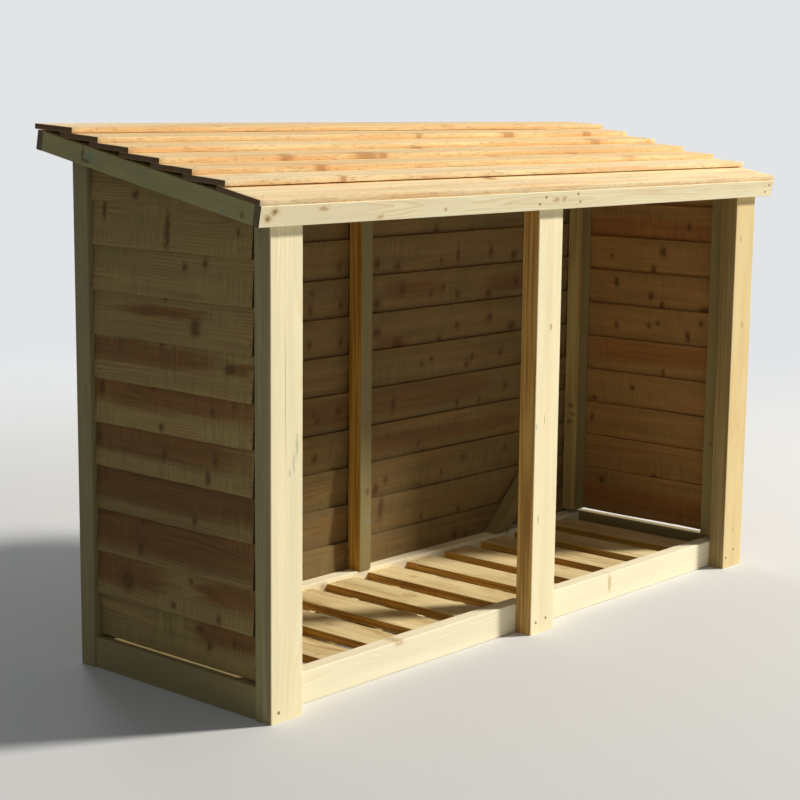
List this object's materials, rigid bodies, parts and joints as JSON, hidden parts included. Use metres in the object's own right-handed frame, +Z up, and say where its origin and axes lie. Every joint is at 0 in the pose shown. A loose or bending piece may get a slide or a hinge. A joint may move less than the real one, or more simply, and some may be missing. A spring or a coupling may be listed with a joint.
{
  "type": "log store",
  "caption": "Open-fronted timber log store with lapped board walls, a slatted floor on a rail frame, broad front posts and a lapped lean-to roof.",
  "frame": {"origin": "centre of the bounding box at ground level", "axes": "+X to the right along the store's length as seen from its open front, +Y from the open front towards the back wall, +Z up"},
  "size_m": [1.99, 0.7192, 1.2453],
  "materials": {
    "post_timber": "planed pressure-treated softwood with eased edges, bare",
    "rail_timber": "planed pressure-treated softwood with eased edges, bare",
    "slat_timber": "planed pressure-treated softwood, bare",
    "support_timber": "planed pressure-treated softwood, bare",
    "stud_timber": "planed pressure-treated softwood with eased edges, bare",
    "wall_board_timber": "rough-sawn pressure-treated softwood, bare",
    "roof_frame_timber": "planed pressure-treated softwood with eased edges, bare",
    "roof_board_timber": "rough-sawn pressure-treated softwood, bare"
  },
  "bodies": {
    "root": {"back_brace_left": "stud_timber", "back_brace_right": "stud_timber", "back_stud_left": "stud_timber", "back_stud_middle": "stud_timber", "back_stud_right": "stud_timber", "base_rail_back": "rail_timber", "base_rail_front": "rail_timber", "base_rail_left": "rail_timber", "base_rail_right": "rail_timber", "cladding_back": "wall_board_timber", "cladding_left": "wall_board_timber", "cladding_right": "wall_board_timber", "fascia_front": "roof_frame_timber", "fascia_rear": "roof_frame_timber", "floor_slat_01": "slat_timber", "floor_slat_02": "slat_timber", "floor_slat_03": "slat_timber", "floor_slat_04": "slat_timber", "floor_slat_05": "slat_timber", "floor_slat_06": "slat_timber", "floor_slat_07": "slat_timber", "floor_slat_08": "slat_timber", "floor_slat_09": "slat_timber", "floor_slat_10": "slat_timber", "floor_slat_11": "slat_timber", "front_post_left": "post_timber", "front_post_middle": "post_timber", "front_post_right": "post_timber", "rafter_left": "roof_frame_timber", "rafter_middle": "roof_frame_timber", "rafter_right": "roof_frame_timber", "rear_post_left": "post_timber", "rear_post_right": "post_timber", "roof_board_1": "roof_board_timber", "roof_board_2": "roof_board_timber", "roof_board_3": "roof_board_timber", "roof_board_4": "roof_board_timber", "roof_board_5": "roof_board_timber", "roof_board_6": "roof_board_timber", "roof_board_7": "roof_board_timber", "side_stile_left": "stud_timber", "side_stile_right": "stud_timber", "slat_bearer_middle": "support_timber", "slat_ledger_back": "support_timber", "slat_ledger_front": "support_timber"}
  },
  "joints": []
}
